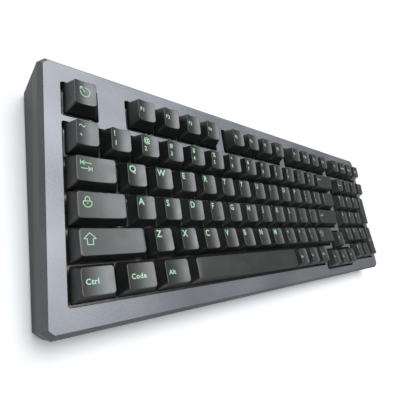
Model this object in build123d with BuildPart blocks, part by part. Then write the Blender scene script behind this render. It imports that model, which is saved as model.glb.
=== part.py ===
"""Full-size mechanical keyboard with its number pad drawn in close to the main block.

Lengths are millimetres. The row frame stands on the desk: +X to the right, +Y to the rear,
+Z up, origin on the desk under the middle of the case. The keys sit on a deck tilted by
TYPING_ANGLE; the deck frame has its origin at the front left corner of the key grid, on
the top face of the switch plate.
"""
from build123d import *
from math import cos, hypot, radians, sin, tan
import os

os.makedirs("parts", exist_ok=True)

# ---------------------------------------------------------------- driving dimensions
U = 19.05                   # key pitch
COLUMNS = 19.5              # width of the key grid, in key pitches
ROWS = 6.25                 # depth of the key grid, in key pitches
TYPING_ANGLE = 6.0          # slope of the deck, degrees

SIDE_MARGIN = 11.7          # key grid to the outer wall, left and right
FRONT_MARGIN = 13.8         # key grid to the outer wall, front
REAR_MARGIN = 14.0          # key grid to the outer wall, rear
DECK_TOP = 6.95             # top face of the case above the plate
SEAM = -6.2                 # joint between the two case halves
FRONT_DEPTH = 13.6          # underside below the plate, at the front wall
EDGE_BEVEL = 2.5            # 45 degree bevel round the top face
CORNER_CUT = 4.0            # 45 degree cut down each corner
BASE_BEVEL = 1.0            # bevel round the underside
KEY_CLEARANCE = 0.85        # opening beyond the key grid
OPENING_RADIUS = 1.5        # inner corners of the openings

SIDE_WALL = 5.5             # case wall, left and right
END_WALL = 7.2              # case wall, front and rear
POCKET_TOP = 0.8            # underside of the top case's deck
FLOOR = 3.5                 # floor of the bottom case
FOOT_PROUD = 1.5            # rubber foot below the case
FOOT_SINK = 0.8             # rubber foot's pocket
FOOT_RADIUS = 7.0
FOOT_X = 172.0
FOOT_Y = 58.0

PLATE = 1.5                 # switch plate thickness
BOARD_TOP = -5.0            # circuit board's top face
BOARD = 1.6                 # circuit board thickness
PLATE_GAP = 0.6             # plate edge to the pocket wall
BOARD_GAP = 4.2             # board edge to the pocket wall
FOAM = 1.5                  # foam sheet on the floor

LEDGE_TOP = -4.5            # gasket ledges of the bottom case
LEDGE_LENGTH = 40.0
LEDGE_WIDTH = 3.7
LEDGE_GAP = 0.3             # ledge to the top case's wall
LEDGE_COLUMNS = (1.5, 6.0, 11.5, 18.0)
GASKET_WIDTH = 3.0
GASKET_INSET = 0.8          # gasket edge behind the ledge's edge

SCREW_COLUMNS = (-0.2, 6.5, 13.0, 19.7)
SCREW_SEAT = -9.7           # underside of the screw head's seat
SCREW_RADIUS = 1.25
SCREW_HEAD_RADIUS = 2.25
SCREW_HEAD = 2.5
SCREW_END = 1.5             # tip of the screw in the top case
HEX_KEY = 2.0               # across flats

TRAVEL = 4.0                # full travel of a key
CAP_GAP = 0.89              # gap between neighbouring keycap skirts
SKIRT = 6.3                 # skirt of a resting keycap above the plate
SIDE_INSET = 3.72           # key grid to the side of a keycap's top face
DISH = 0.8                  # depth of the finger dish
CAP_WALL = 1.5
CAP_ROOF = 1.2
POST_RADIUS = 2.75
POST_LIFT = 0.15            # post's end above the skirt
CROSS = 4.0                 # length of the cross on a switch stem
CROSS_ARM = 1.2
CROSS_FIT = 0.1             # socket larger than the cross by this
CROSS_HEIGHT = 3.7

# row profile: front and rear height above the skirt, front and rear inset of the top face
PROFILES = {
    "row_1": (9.65, 10.15, 3.9, 1.8),
    "row_2": (7.6, 7.35, 3.8, 1.6),
    "row_3": (6.75, 6.4, 3.5, 1.7),
    "row_4": (8.3, 6.55, 3.4, 1.9),
    "plus": (7.15, 6.9, 3.6, 1.6),
}

# node: row profile, left and front edge of the first key, key widths and depth, in pitches
KEYS = {
    "key_escape": ("row_1", 0, 5.25, [1], 1),
    "keys_f1_to_f4": ("row_1", 2, 5.25, [1] * 4, 1),
    "keys_f5_to_f8": ("row_1", 6.5, 5.25, [1] * 4, 1),
    "keys_f9_to_f12": ("row_1", 11, 5.25, [1] * 4, 1),
    "keys_page_block": ("row_1", 15.5, 5.25, [1] * 4, 1),
    "keys_grave_to_6": ("row_1", 0, 4, [1] * 7, 1),
    "keys_7_to_equals": ("row_1", 7, 4, [1] * 6, 1),
    "key_backspace": ("row_1", 13, 4, [2], 1),
    "keys_numpad_operators": ("row_1", 15.5, 4, [1] * 4, 1),
    "key_tab": ("row_2", 0, 3, [1.5], 1),
    "keys_q_to_t": ("row_2", 1.5, 3, [1] * 5, 1),
    "keys_y_to_bracket": ("row_2", 6.5, 3, [1] * 7, 1),
    "key_backslash": ("row_2", 13.5, 3, [1.5], 1),
    "keys_numpad_7_to_9": ("row_2", 15.5, 3, [1] * 3, 1),
    "key_numpad_plus": ("plus", 18.5, 2, [1], 2),
    "key_caps_lock": ("row_3", 0, 2, [1.75], 1),
    "keys_a_to_g": ("row_3", 1.75, 2, [1] * 5, 1),
    "keys_h_to_quote": ("row_3", 6.75, 2, [1] * 6, 1),
    "key_enter": ("row_3", 12.75, 2, [2.25], 1),
    "keys_numpad_4_to_6": ("row_3", 15.5, 2, [1] * 3, 1),
    "key_left_shift": ("row_4", 0, 1, [2.25], 1),
    "keys_z_to_b": ("row_4", 2.25, 1, [1] * 5, 1),
    "keys_n_to_slash": ("row_4", 7.25, 1, [1] * 5, 1),
    "key_right_shift": ("row_4", 12.25, 1, [1.75], 1),
    "key_arrow_up": ("row_4", 14.25, 0.75, [1], 1),
    "keys_numpad_1_to_3": ("row_4", 15.5, 1, [1] * 3, 1),
    "key_numpad_enter": ("row_4", 18.5, 0, [1], 2),
    "key_left_control": ("row_4", 0, 0, [1.25], 1),
    "key_code": ("row_4", 1.25, 0, [1.25], 1),
    "key_left_alt": ("row_4", 2.5, 0, [1.25], 1),
    "key_space": ("row_4", 3.75, 0, [6.25], 1),
    "keys_right_modifiers": ("row_4", 10, 0, [1] * 3, 1),
    "key_arrow_left": ("row_4", 13.25, -0.25, [1], 1),
    "key_arrow_down": ("row_4", 14.25, -0.25, [1], 1),
    "key_arrow_right": ("row_4", 15.25, -0.25, [1], 1),
    "key_numpad_0": ("row_4", 16.5, 0, [1], 1),
    "key_numpad_dot": ("row_4", 17.5, 0, [1], 1),
}

# left, front, right and rear of each stretch of key grid that the top case opens over
KEY_BLOCKS = [
    (0, 5.25, 1, 6.25),
    (2, 5.25, 6, 6.25),
    (6.5, 5.25, 10.5, 6.25),
    (11, 5.25, 15, 6.25),
    (15.5, 5.25, 19.5, 6.25),
    (0, 0, 13, 1),
    (0, 1, 14, 2),
    (0, 2, 15, 5),
    (15.5, 1, 19.5, 5),
    (16.5, 0, 19.5, 1),
    (14.25, 0.75, 15.25, 1.75),
    (13.25, -0.25, 16.25, 0.75),
]

# long keys on stabilisers: half the spacing of the two stabilisers, and the pair's turn
STAB_SHORT = 11.94
STAB_LONG = 50.0
STABILISED = {
    "key_backspace": (STAB_SHORT, 0),
    "key_enter": (STAB_SHORT, 0),
    "key_left_shift": (STAB_SHORT, 0),
    "key_numpad_plus": (STAB_SHORT, -90),
    "key_numpad_enter": (STAB_SHORT, -90),
    "key_space": (STAB_LONG, 0),
}
WIRE = 1.6                  # stabiliser wire diameter
WIRE_REACH = 9.0            # wire's pivot in front of the key's middle
WIRE_PIVOT = -3.0           # wire's pivot, from the plate's top face
WIRE_ANGLE = 19.5           # slope of the wire's legs at rest, degrees
WIRE_LEG = 9.9
WIRE_BEND = 2.0

# switch, from the plate's top face
HOUSING_TOP = 6.2
FLANGE = 1.0
FLANGE_SIZE = 15.6
BODY_SIZE = 13.9
ROOF_SIZE = 10.8
STEM_SHOULDER = 6.4
STEM_FOOT = 3.5
POLE_END = -3.4
CAVITY = (10.2, 8.2)

USB_COLUMN = 9.75           # inlet in the middle of the rear wall, in key pitches
USB_HEIGHT = -14.0          # from the plate's top face
USB_RECESS = 1.5
USB_SHELL = (8.94, 7.3, 3.26)

# ---------------------------------------------------------------- the deck's frame
TILT = radians(TYPING_ANGLE)
CASE_X = COLUMNS * U + 2 * SIDE_MARGIN
CASE_FRONT = -FRONT_MARGIN
CASE_REAR = ROWS * U + REAR_MARGIN
REAR_DEPTH = FRONT_DEPTH + (CASE_REAR - CASE_FRONT) * tan(TILT)
BEVEL_FOOT = DECK_TOP - EDGE_BEVEL

# lowest and highest row Y that the case reaches, before the frame is centred on it
reach_front = CASE_FRONT * cos(TILT) - BEVEL_FOOT * sin(TILT)
reach_rear = CASE_REAR * cos(TILT) + REAR_DEPTH * sin(TILT)
DECK_X = -COLUMNS * U / 2
DECK_Y = -(reach_front + reach_rear) / 2
DECK_Z = FOOT_PROUD + FRONT_MARGIN * sin(TILT) + FRONT_DEPTH * cos(TILT)
DECK = Plane(origin=(DECK_X, DECK_Y, DECK_Z), x_dir=(1, 0, 0), z_dir=(0, -sin(TILT), cos(TILT)))
DECK_NORMAL = Axis((0, 0, 0), (0, -sin(TILT), cos(TILT)))
UPRIGHT = (Align.CENTER, Align.CENTER, Align.MIN)


def side(y, z):
    """Row (Y, Z) of a point given by the deck's own y and z."""
    return (DECK_Y + y * cos(TILT) - z * sin(TILT), DECK_Z + y * sin(TILT) + z * cos(TILT))


def deck_z(y, height):
    """The deck's z, at deck y, of a point at the given height above the desk."""
    return (height - DECK_Z - y * sin(TILT)) / cos(TILT)


def seat(x, y, turn=0):
    """Place on the plate, turned about the deck's normal."""
    return DECK.location * Location((x, y, 0), (0, 0, turn))


def deck_block(left, front, right, rear):
    """Rectangle in a deck sketch, by its four sides."""
    with Locations(((left + right) / 2, (front + rear) / 2)):
        Rectangle(right - left, rear - front)


def key_centres(node):
    """Middle of each key of a node, on the deck."""
    _, left, front, widths, depth = KEYS[node]
    centres = []
    for width in widths:
        centres.append(((left + width / 2) * U, (front + depth / 2) * U))
        left += width
    return centres


def write(piece, name):
    """Label a finished piece and write it under its node's name."""
    piece.part.label = name
    export_step(piece.part, f"parts/{name}.step")


POCKET = (
    -SIDE_MARGIN + SIDE_WALL,
    CASE_FRONT + END_WALL,
    COLUMNS * U + SIDE_MARGIN - SIDE_WALL,
    CASE_REAR - END_WALL,
)
ALL_CENTRES = [centre for node in KEYS for centre in key_centres(node)]
SWITCH_SEATS = [seat(x, y) for x, y in ALL_CENTRES]


def stabiliser_seats(node):
    """Places of the two stabilisers of a long key, fronts towards the wire's pivot."""
    reach, turn = STABILISED[node]
    middle = seat(*key_centres(node)[0], turn)
    return [middle * Location((-reach, 0, 0)), middle * Location((reach, 0, 0))]


STABILISER_SEATS = [place for node in STABILISED for place in stabiliser_seats(node)]

SCREW_FRONT = CASE_FRONT + END_WALL / 2
SCREW_REAR = CASE_REAR - END_WALL / 2
SCREWS = [(column * U, y) for column in SCREW_COLUMNS for y in (SCREW_FRONT, SCREW_REAR)]

# ---------------------------------------------------------------- top case
with BuildPart() as top_case:
    with BuildSketch(DECK.offset(SEAM)) as outline:
        deck_block(-SIDE_MARGIN, CASE_FRONT, COLUMNS * U + SIDE_MARGIN, CASE_REAR)
        chamfer(outline.vertices(), CORNER_CUT)
    extrude(amount=DECK_TOP - SEAM)
    chamfer(top_case.faces().sort_by(DECK_NORMAL)[-1].edges(), EDGE_BEVEL)
    with BuildSketch(DECK.offset(DECK_TOP)) as openings:
        for left, front, right, rear in KEY_BLOCKS:
            deck_block(
                left * U - KEY_CLEARANCE,
                front * U - KEY_CLEARANCE,
                right * U + KEY_CLEARANCE,
                rear * U + KEY_CLEARANCE,
            )
        fillet(openings.vertices(), OPENING_RADIUS)
    extrude(amount=POCKET_TOP - DECK_TOP, mode=Mode.SUBTRACT)
    with BuildSketch(DECK.offset(SEAM)):
        deck_block(*POCKET)
    extrude(amount=POCKET_TOP - SEAM, mode=Mode.SUBTRACT)
    with BuildSketch(DECK.offset(SEAM)):
        with Locations(*SCREWS):
            Circle(SCREW_RADIUS + 0.05)
    extrude(amount=SCREW_END + 1.0 - SEAM, mode=Mode.SUBTRACT)
write(top_case, "top_case")

# ---------------------------------------------------------------- bottom case
DESK_FACE = FOOT_PROUD
FLOOR_TOP = FOOT_PROUD + FLOOR
FRONT_LEDGE = (POCKET[1] + LEDGE_GAP, POCKET[1] + LEDGE_GAP + LEDGE_WIDTH)
REAR_LEDGE = (POCKET[3] - LEDGE_GAP - LEDGE_WIDTH, POCKET[3] - LEDGE_GAP)
USB_PLACE = DECK.location * Location((USB_COLUMN * U, CASE_REAR, USB_HEIGHT))
USB_FACE = -USB_RECESS
USB_SLOT = (USB_SHELL[0] + 0.4, USB_SHELL[2] + 0.4)
TRAY_BOARD = (18.0, 14.0, 1.6)
TRAY_BOARD_TOP = -USB_SHELL[2] / 2

with BuildPart() as bottom_case:
    with BuildSketch(Plane.YZ):
        with BuildLine():
            Polyline(
                side(CASE_FRONT, SEAM),
                side(CASE_REAR, SEAM),
                side(CASE_REAR, -REAR_DEPTH),
                side(CASE_FRONT, -FRONT_DEPTH),
                close=True,
            )
        make_face()
    extrude(amount=CASE_X / 2, both=True)
    chamfer(bottom_case.edges().filter_by(DECK_NORMAL), CORNER_CUT)
    chamfer(bottom_case.faces().sort_by(Axis.Z)[0].edges(), BASE_BEVEL)
    with BuildSketch(Plane.YZ):
        with BuildLine():
            Polyline(
                side(POCKET[1], SEAM),
                side(POCKET[3], SEAM),
                side(POCKET[3], deck_z(POCKET[3], FLOOR_TOP)),
                side(POCKET[1], deck_z(POCKET[1], FLOOR_TOP)),
                close=True,
            )
        make_face()
    extrude(amount=CASE_X / 2 - SIDE_WALL, both=True, mode=Mode.SUBTRACT)
    for front, rear in (FRONT_LEDGE, REAR_LEDGE):
        with BuildSketch(DECK.offset(LEDGE_TOP)):
            for column in LEDGE_COLUMNS:
                middle = column * U
                deck_block(middle - LEDGE_LENGTH / 2, front, middle + LEDGE_LENGTH / 2, rear)
        extrude(amount=deck_z(rear, FLOOR_TOP - 1.0) - LEDGE_TOP)
    # inlet: a shallow recess in the rear wall, then a slot for the socket's shell
    with Locations(USB_PLACE):
        Box(13.0, 2 * USB_RECESS, 7.0, mode=Mode.SUBTRACT)
        Box(USB_SLOT[0], 4 * END_WALL, USB_SLOT[1], mode=Mode.SUBTRACT)
    # two rails under the inlet's small board
    rail_top = USB_HEIGHT + TRAY_BOARD_TOP - TRAY_BOARD[2]
    rail_rear = POCKET[3]
    with BuildSketch(DECK.offset(rail_top)):
        for offset_x in (-7.0, 7.0):
            rail_x = USB_COLUMN * U + offset_x
            deck_block(rail_x - 1.5, rail_rear - 13.5, rail_x + 1.5, rail_rear)
    extrude(amount=deck_z(rail_rear, FLOOR_TOP - 1.0) - rail_top)
    # screw holes, counterbored from below
    with BuildSketch(DECK.offset(SEAM)):
        with Locations(*SCREWS):
            Circle(SCREW_RADIUS + 0.2)
    extrude(amount=SCREW_SEAT - SEAM, mode=Mode.SUBTRACT)
    with BuildSketch(DECK.offset(SCREW_SEAT)):
        with Locations(*SCREWS):
            Circle(SCREW_HEAD_RADIUS + 0.3)
    extrude(amount=-REAR_DEPTH, mode=Mode.SUBTRACT)
    # pockets for the feet
    with BuildSketch(Plane.XY.offset(DESK_FACE)):
        with GridLocations(2 * FOOT_X, 2 * FOOT_Y, 2, 2):
            Circle(FOOT_RADIUS)
    extrude(amount=FOOT_SINK, mode=Mode.SUBTRACT)
write(bottom_case, "bottom_case")

# ---------------------------------------------------------------- feet, foam and screws
with BuildPart() as rubber_feet:
    with BuildSketch():
        with GridLocations(2 * FOOT_X, 2 * FOOT_Y, 2, 2):
            Circle(FOOT_RADIUS)
    extrude(amount=FOOT_PROUD + FOOT_SINK)
    chamfer(rubber_feet.faces().group_by(Axis.Z)[0].edges(), 0.4)
write(rubber_feet, "rubber_feet")

with BuildPart() as case_foam:
    foam_front = side(POCKET[1], deck_z(POCKET[1], FLOOR_TOP))[0] + LEDGE_WIDTH + 2.0
    foam_rear = side(POCKET[3], deck_z(POCKET[3], FLOOR_TOP))[0] - LEDGE_WIDTH - 18.0
    with BuildSketch(Plane.XY.offset(FLOOR_TOP)):
        with Locations((0, (foam_front + foam_rear) / 2)):
            Rectangle(CASE_X - 2 * SIDE_WALL - 2.0, foam_rear - foam_front)
    extrude(amount=FOAM)
write(case_foam, "case_foam")

with BuildPart() as case_screws:
    with BuildSketch(DECK.offset(SCREW_SEAT)):
        with Locations(*SCREWS):
            Circle(SCREW_HEAD_RADIUS)
    extrude(amount=-SCREW_HEAD)
    with BuildSketch(DECK.offset(SCREW_SEAT)):
        with Locations(*SCREWS):
            Circle(SCREW_RADIUS)
    extrude(amount=SCREW_END - SCREW_SEAT)
    with BuildSketch(DECK.offset(SCREW_SEAT - SCREW_HEAD)):
        with Locations(*SCREWS):
            RegularPolygon(HEX_KEY / 2, 6, major_radius=False)
    extrude(amount=1.4, mode=Mode.SUBTRACT)
write(case_screws, "case_screws")

# ---------------------------------------------------------------- plate, board and gaskets
with BuildPart() as switch_plate:
    with BuildSketch(DECK):
        deck_block(
            POCKET[0] + PLATE_GAP,
            POCKET[1] + PLATE_GAP,
            POCKET[2] - PLATE_GAP,
            POCKET[3] - PLATE_GAP,
        )
        with Locations(*ALL_CENTRES):
            Rectangle(14.0, 14.0, mode=Mode.SUBTRACT)
    extrude(amount=-PLATE)
    with Locations(*STABILISER_SEATS):
        with Locations((0, -1.0, 0)):
            Box(7.6, 14.4, 3 * PLATE, mode=Mode.SUBTRACT)
write(switch_plate, "switch_plate")

with BuildPart() as circuit_board:
    with BuildSketch(DECK.offset(BOARD_TOP)):
        deck_block(
            POCKET[0] + BOARD_GAP,
            POCKET[1] + BOARD_GAP,
            POCKET[2] - BOARD_GAP,
            POCKET[3] - BOARD_GAP,
        )
        with Locations(*ALL_CENTRES):
            Circle(2.0, mode=Mode.SUBTRACT)
    extrude(amount=-BOARD)
write(circuit_board, "circuit_board")

with BuildPart() as controller_chips:
    with BuildSketch(DECK.offset(BOARD_TOP - BOARD)):
        with Locations((15.25 * U, 3.2 * U)):
            Rectangle(7.0, 7.0)
        with Locations((15.25 * U, 4.1 * U)):
            Rectangle(5.0, 4.0)
        with Locations((15.25 * U, 2.5 * U)):
            Rectangle(3.2, 2.5)
    extrude(amount=-1.0)
write(controller_chips, "controller_chips")

with BuildPart() as gasket_strips:
    front_strip = (FRONT_LEDGE[1] - GASKET_INSET - GASKET_WIDTH, FRONT_LEDGE[1] - GASKET_INSET)
    rear_strip = (REAR_LEDGE[0] + GASKET_INSET, REAR_LEDGE[0] + GASKET_INSET + GASKET_WIDTH)
    for bottom, top in ((LEDGE_TOP, -PLATE), (0, POCKET_TOP)):
        with BuildSketch(DECK.offset(bottom)):
            for column in LEDGE_COLUMNS:
                left = column * U - LEDGE_LENGTH / 2 + 1.0
                right = column * U + LEDGE_LENGTH / 2 - 1.0
                deck_block(left, front_strip[0], right, front_strip[1])
                deck_block(left, rear_strip[0], right, rear_strip[1])
        extrude(amount=top - bottom)
write(gasket_strips, "gasket_strips")

# ---------------------------------------------------------------- inlet, its board and lead
with BuildPart() as usb_socket:
    with Locations(USB_PLACE * Location((0, USB_FACE - USB_SHELL[1] / 2, 0))):
        Box(*USB_SHELL)
        fillet(usb_socket.edges().filter_by(Axis((0, 0, 0), (0, cos(TILT), sin(TILT)))), 1.3)
    with Locations(USB_PLACE * Location((0, USB_FACE - 2.75, 0))):
        Box(8.34, 5.5, 2.56, mode=Mode.SUBTRACT)
        Box(6.69, 4.6, 0.7)
write(usb_socket, "usb_socket")

with BuildPart() as usb_daughterboard:
    board_rear = POCKET[3] - CASE_REAR
    with Locations(USB_PLACE * Location((0, board_rear - TRAY_BOARD[1] / 2, TRAY_BOARD_TOP))):
        Box(*TRAY_BOARD, align=(Align.CENTER, Align.CENTER, Align.MAX))
write(usb_daughterboard, "usb_daughterboard")

with BuildPart() as board_lead:
    # flat ribbon from the inlet's board up to the underside of the main board
    lead_y = POCKET[3] - 11.0
    lead_bottom = USB_HEIGHT + TRAY_BOARD_TOP
    with BuildSketch(Plane.YZ.offset(DECK_X + USB_COLUMN * U)):
        with BuildLine() as ribbon:
            FilletPolyline(
                side(lead_y, lead_bottom),
                side(lead_y, lead_bottom + 4.0),
                side(lead_y - 8.0, lead_bottom + 5.0),
                side(lead_y - 8.0, BOARD_TOP - BOARD),
                radius=1.2,
            )
            offset(amount=0.5, side=Side.RIGHT)
        make_face()
    extrude(amount=3.0, both=True)
write(board_lead, "board_lead")

# ---------------------------------------------------------------- one switch
with BuildPart() as lower_housing:
    with Locations((0, 0, BOARD_TOP)):
        Box(BODY_SIZE, BODY_SIZE, -BOARD_TOP, align=UPRIGHT)
        Cylinder(1.95, 3.3, align=(Align.CENTER, Align.CENTER, Align.MAX))
    Box(FLANGE_SIZE, FLANGE_SIZE, FLANGE, align=UPRIGHT)
    with Locations((0, 0, -1.2)):
        Box(*CAVITY, 2.2, align=UPRIGHT, mode=Mode.SUBTRACT)
    with Locations((0, 0, -4.2)):
        Cylinder(3.2, 3.0, align=UPRIGHT, mode=Mode.SUBTRACT)
        Cylinder(1.3, 3.8, align=(Align.CENTER, Align.CENTER, Align.MAX), mode=Mode.SUBTRACT)

with BuildPart() as upper_housing:
    with BuildSketch(Plane.XY.offset(FLANGE)):
        Rectangle(14.0, 14.0)
    with BuildSketch(Plane.XY.offset(HOUSING_TOP)):
        Rectangle(ROOF_SIZE, ROOF_SIZE)
    loft()
    with Locations((0, 0, FLANGE)):
        Box(*CAVITY, 4.0, align=UPRIGHT, mode=Mode.SUBTRACT)
        Box(7.4, 6.2, HOUSING_TOP, align=UPRIGHT, mode=Mode.SUBTRACT)

with BuildPart() as spring:
    with BuildSketch(Plane.XY.offset(-4.2)):
        Circle(2.2)
        Circle(1.5, mode=Mode.SUBTRACT)
    extrude(amount=3.3)

with BuildPart() as socket:
    with Locations((0.6, 4.8, BOARD_TOP - BOARD)):
        Box(10.9, 4.4, 1.8, align=(Align.CENTER, Align.CENTER, Align.MAX))

with BuildPart() as switch_stem:
    with Locations((0, 0, STEM_FOOT)):
        Box(6.6, 4.9, STEM_SHOULDER - STEM_FOOT, align=UPRIGHT)
        Box(9.0, 7.0, 1.2, align=UPRIGHT)
        Cylinder(1.0, STEM_FOOT - POLE_END, align=(Align.CENTER, Align.CENTER, Align.MAX))
    with Locations((0, 0, STEM_SHOULDER)):
        Box(CROSS, CROSS_ARM, CROSS_HEIGHT, align=UPRIGHT)
        Box(CROSS_ARM, CROSS, CROSS_HEIGHT, align=UPRIGHT)

for piece, name in (
    (lower_housing, "switch_lower_housings"),
    (upper_housing, "switch_upper_housings"),
    (spring, "switch_springs"),
    (socket, "hot_swap_sockets"),
):
    with BuildPart() as group:
        with Locations(*SWITCH_SEATS):
            add(piece.part)
    write(group, name)

# ---------------------------------------------------------------- stabilisers
with BuildPart() as stabiliser_housing:
    with Locations((0, -0.3, BOARD_TOP)):
        Box(7.0, 11.8, 3.6 - BOARD_TOP, align=UPRIGHT)
    with Locations((0, 0, BOARD_TOP)):
        Box(6.0, 9.0, 20.0, align=UPRIGHT, mode=Mode.SUBTRACT)
    # slot for the wire's leg, and a lug each side for its pivot
    with Locations((0, -5.4, BOARD_TOP)):
        Box(2.8, 4.0, 6.8, align=UPRIGHT, mode=Mode.SUBTRACT)
    with Locations((-2.65, -8.2, BOARD_TOP), (2.65, -8.2, BOARD_TOP)):
        Box(1.4, 4.2, 3.3, align=UPRIGHT)
    with Locations((0, -WIRE_REACH, WIRE_PIVOT)):
        Cylinder(WIRE / 2 + 0.35, 12.0, rotation=(0, 90, 0), mode=Mode.SUBTRACT)

with BuildPart() as stabiliser_housings:
    with Locations(*STABILISER_SEATS):
        add(stabiliser_housing.part)
write(stabiliser_housings, "stabiliser_housings")

with BuildPart() as stabiliser_stem:
    with Locations((0, 0, -0.7)):
        Box(4.6, 6.0, STEM_SHOULDER + 0.7, align=UPRIGHT)
        Box(2.8, 8.0, 2.5, align=UPRIGHT, mode=Mode.SUBTRACT)
    with Locations((0, 0, STEM_SHOULDER)):
        Box(CROSS, CROSS_ARM, CROSS_HEIGHT, align=UPRIGHT)
        Box(CROSS_ARM, CROSS, CROSS_HEIGHT, align=UPRIGHT)


def stabiliser_wire(node):
    """Round wire bent to a U: the long run turns in the housings, the legs lift the stems."""
    reach, turn = STABILISED[node]
    middle = seat(*key_centres(node)[0], turn)
    pivot = middle * Location((0, -WIRE_REACH, WIRE_PIVOT), (WIRE_ANGLE, 0, 0))
    flat = Plane(pivot)
    with BuildPart() as wire:
        with BuildLine(flat):
            FilletPolyline(
                (-reach, WIRE_LEG),
                (-reach, 0),
                (reach, 0),
                (reach, WIRE_LEG),
                radius=WIRE_BEND,
            )
        leg_end = flat.from_local_coords((-reach, WIRE_LEG, 0))
        with BuildSketch(Plane(origin=leg_end, x_dir=flat.x_dir, z_dir=flat.y_dir)):
            Circle(WIRE / 2)
        sweep()
    return wire


for node in STABILISED:
    write(stabiliser_wire(node), node.replace("key_", "wire_"))


# ---------------------------------------------------------------- keycaps and keys
def keycap(profile, width, depth, posts):
    """Moulded cap round the origin: tapered skirt, tilted dished top, hollow, socket posts."""
    front_height, rear_height, front_inset, rear_inset = PROFILES[profile]
    skirt_x = width * U - CAP_GAP
    skirt_y = depth * U - CAP_GAP
    top_x = width * U - 2 * SIDE_INSET
    top_front = -depth * U / 2 + front_inset
    top_rear = depth * U / 2 - rear_inset
    rise = rear_height - front_height
    run = top_rear - top_front
    middle = (0, (top_front + top_rear) / 2, SKIRT + (front_height + rear_height) / 2)
    top = Plane(origin=middle, x_dir=(1, 0, 0), z_dir=(0, -rise, run))
    low = min(front_height, rear_height)
    ceiling = low - DISH - CAP_ROOF
    taper = ceiling / low
    inner_x = skirt_x - (skirt_x - top_x) * taper - 2 * CAP_WALL
    inner_front = -skirt_y / 2 + (top_front + skirt_y / 2) * taper + CAP_WALL
    inner_rear = skirt_y / 2 - (skirt_y / 2 - top_rear) * taper - CAP_WALL
    with BuildPart() as cap:
        with BuildSketch(Plane.XY.offset(SKIRT)):
            RectangleRounded(skirt_x, skirt_y, 1.0)
        with BuildSketch(top):
            RectangleRounded(top_x, hypot(run, rise), 2.0)
        loft()
        if width < 6:
            # finger dish: a wide cylinder lying front to rear, sunk DISH into the top
            dish_radius = ((top_x / 2) ** 2 + DISH ** 2) / (2 * DISH)
            with Locations(top.location * Location((0, 0, dish_radius - DISH), (90, 0, 0))):
                Cylinder(dish_radius, 3 * skirt_y, mode=Mode.SUBTRACT)
        with BuildSketch(Plane.XY.offset(SKIRT)):
            RectangleRounded(skirt_x - 2 * CAP_WALL, skirt_y - 2 * CAP_WALL, 0.5)
        with BuildSketch(Plane.XY.offset(SKIRT + ceiling)):
            with Locations((0, (inner_front + inner_rear) / 2)):
                RectangleRounded(inner_x, inner_rear - inner_front, 0.5)
        loft(mode=Mode.SUBTRACT)
        with Locations(*[(x, y, SKIRT + POST_LIFT) for x, y in posts]):
            Cylinder(POST_RADIUS, ceiling, align=UPRIGHT)
            Box(CROSS + CROSS_FIT, CROSS_ARM + CROSS_FIT, 4.0, align=UPRIGHT, mode=Mode.SUBTRACT)
            Box(CROSS_ARM + CROSS_FIT, CROSS + CROSS_FIT, 4.0, align=UPRIGHT, mode=Mode.SUBTRACT)
    return cap


caps = {}
for node, (profile, _, _, widths, depth) in KEYS.items():
    posts = [(0, 0)]
    if node in STABILISED:
        reach, turn = STABILISED[node]
        across = (reach, 0) if turn == 0 else (0, reach)
        posts += [across, (-across[0], -across[1])]
    kind = (profile, widths[0], depth)
    if kind not in caps:
        caps[kind] = keycap(profile, widths[0], depth, posts)
    seats = [seat(x, y) for x, y in key_centres(node)]
    with BuildPart() as key:
        with Locations(*seats):
            add(caps[kind].part)
            add(switch_stem.part)
        if node in STABILISED:
            with Locations(*stabiliser_seats(node)):
                add(stabiliser_stem.part)
    write(key, node)
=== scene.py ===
import bpy, math
from mathutils import Matrix, Vector


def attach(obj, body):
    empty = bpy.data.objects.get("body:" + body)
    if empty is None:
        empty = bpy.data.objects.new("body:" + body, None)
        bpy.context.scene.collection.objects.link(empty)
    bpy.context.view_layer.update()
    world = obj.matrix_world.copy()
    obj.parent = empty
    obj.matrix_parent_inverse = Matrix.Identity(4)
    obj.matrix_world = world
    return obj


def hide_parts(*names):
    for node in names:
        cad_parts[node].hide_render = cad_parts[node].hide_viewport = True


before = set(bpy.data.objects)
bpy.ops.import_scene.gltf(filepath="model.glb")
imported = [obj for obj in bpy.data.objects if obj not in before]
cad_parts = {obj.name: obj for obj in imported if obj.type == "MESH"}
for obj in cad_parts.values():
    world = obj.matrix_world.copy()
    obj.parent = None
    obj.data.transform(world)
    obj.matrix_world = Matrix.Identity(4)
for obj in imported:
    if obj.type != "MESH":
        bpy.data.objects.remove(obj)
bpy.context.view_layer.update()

# ---- Deck and camera. The keys stand on a deck that slopes up to the rear, so every key
# is placed in the deck's own frame: x to the right, y to the rear, z square to the plate,
# from the front left corner of the key grid. A wide lens looks along the rows from the left.
MM = 0.001
PITCH = 19.05
SLOPE = math.radians(6)
DECK_CORNER = (-185.7375, -60.5895, 16.468)
DECK = (
    Matrix.Translation([along * MM for along in DECK_CORNER])
    @ Matrix.Rotation(SLOPE, 4, "X")
    @ Matrix.Scale(MM, 4)
)
# where the camera stands on the deck, and which way its right side and its top point
CAMERA_PLACE = Vector((-46.67, 6.86, 158.89))
CAMERA_RIGHT = Vector((0.7536, -0.1311, 0.6442))
CAMERA_UP = Vector((-0.0404, 0.9688, 0.2445))

camera_data = bpy.data.cameras.new("camera")
camera_data.sensor_width = 36
camera_data.lens = 26.85
camera_data.shift_x = -0.0052
camera_data.shift_y = 0.0224
camera_data.clip_start = 0.01
camera = bpy.data.objects.new("camera", camera_data)
bpy.context.scene.collection.objects.link(camera)
camera_back = CAMERA_RIGHT.cross(CAMERA_UP)
turned = Matrix((CAMERA_RIGHT, CAMERA_UP, camera_back)).transposed().to_4x4()
camera.matrix_world = (
    Matrix.Translation(DECK @ CAMERA_PLACE)
    @ Matrix.Rotation(SLOPE, 4, "X")
    @ turned
)
bpy.context.scene.camera = camera


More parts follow.
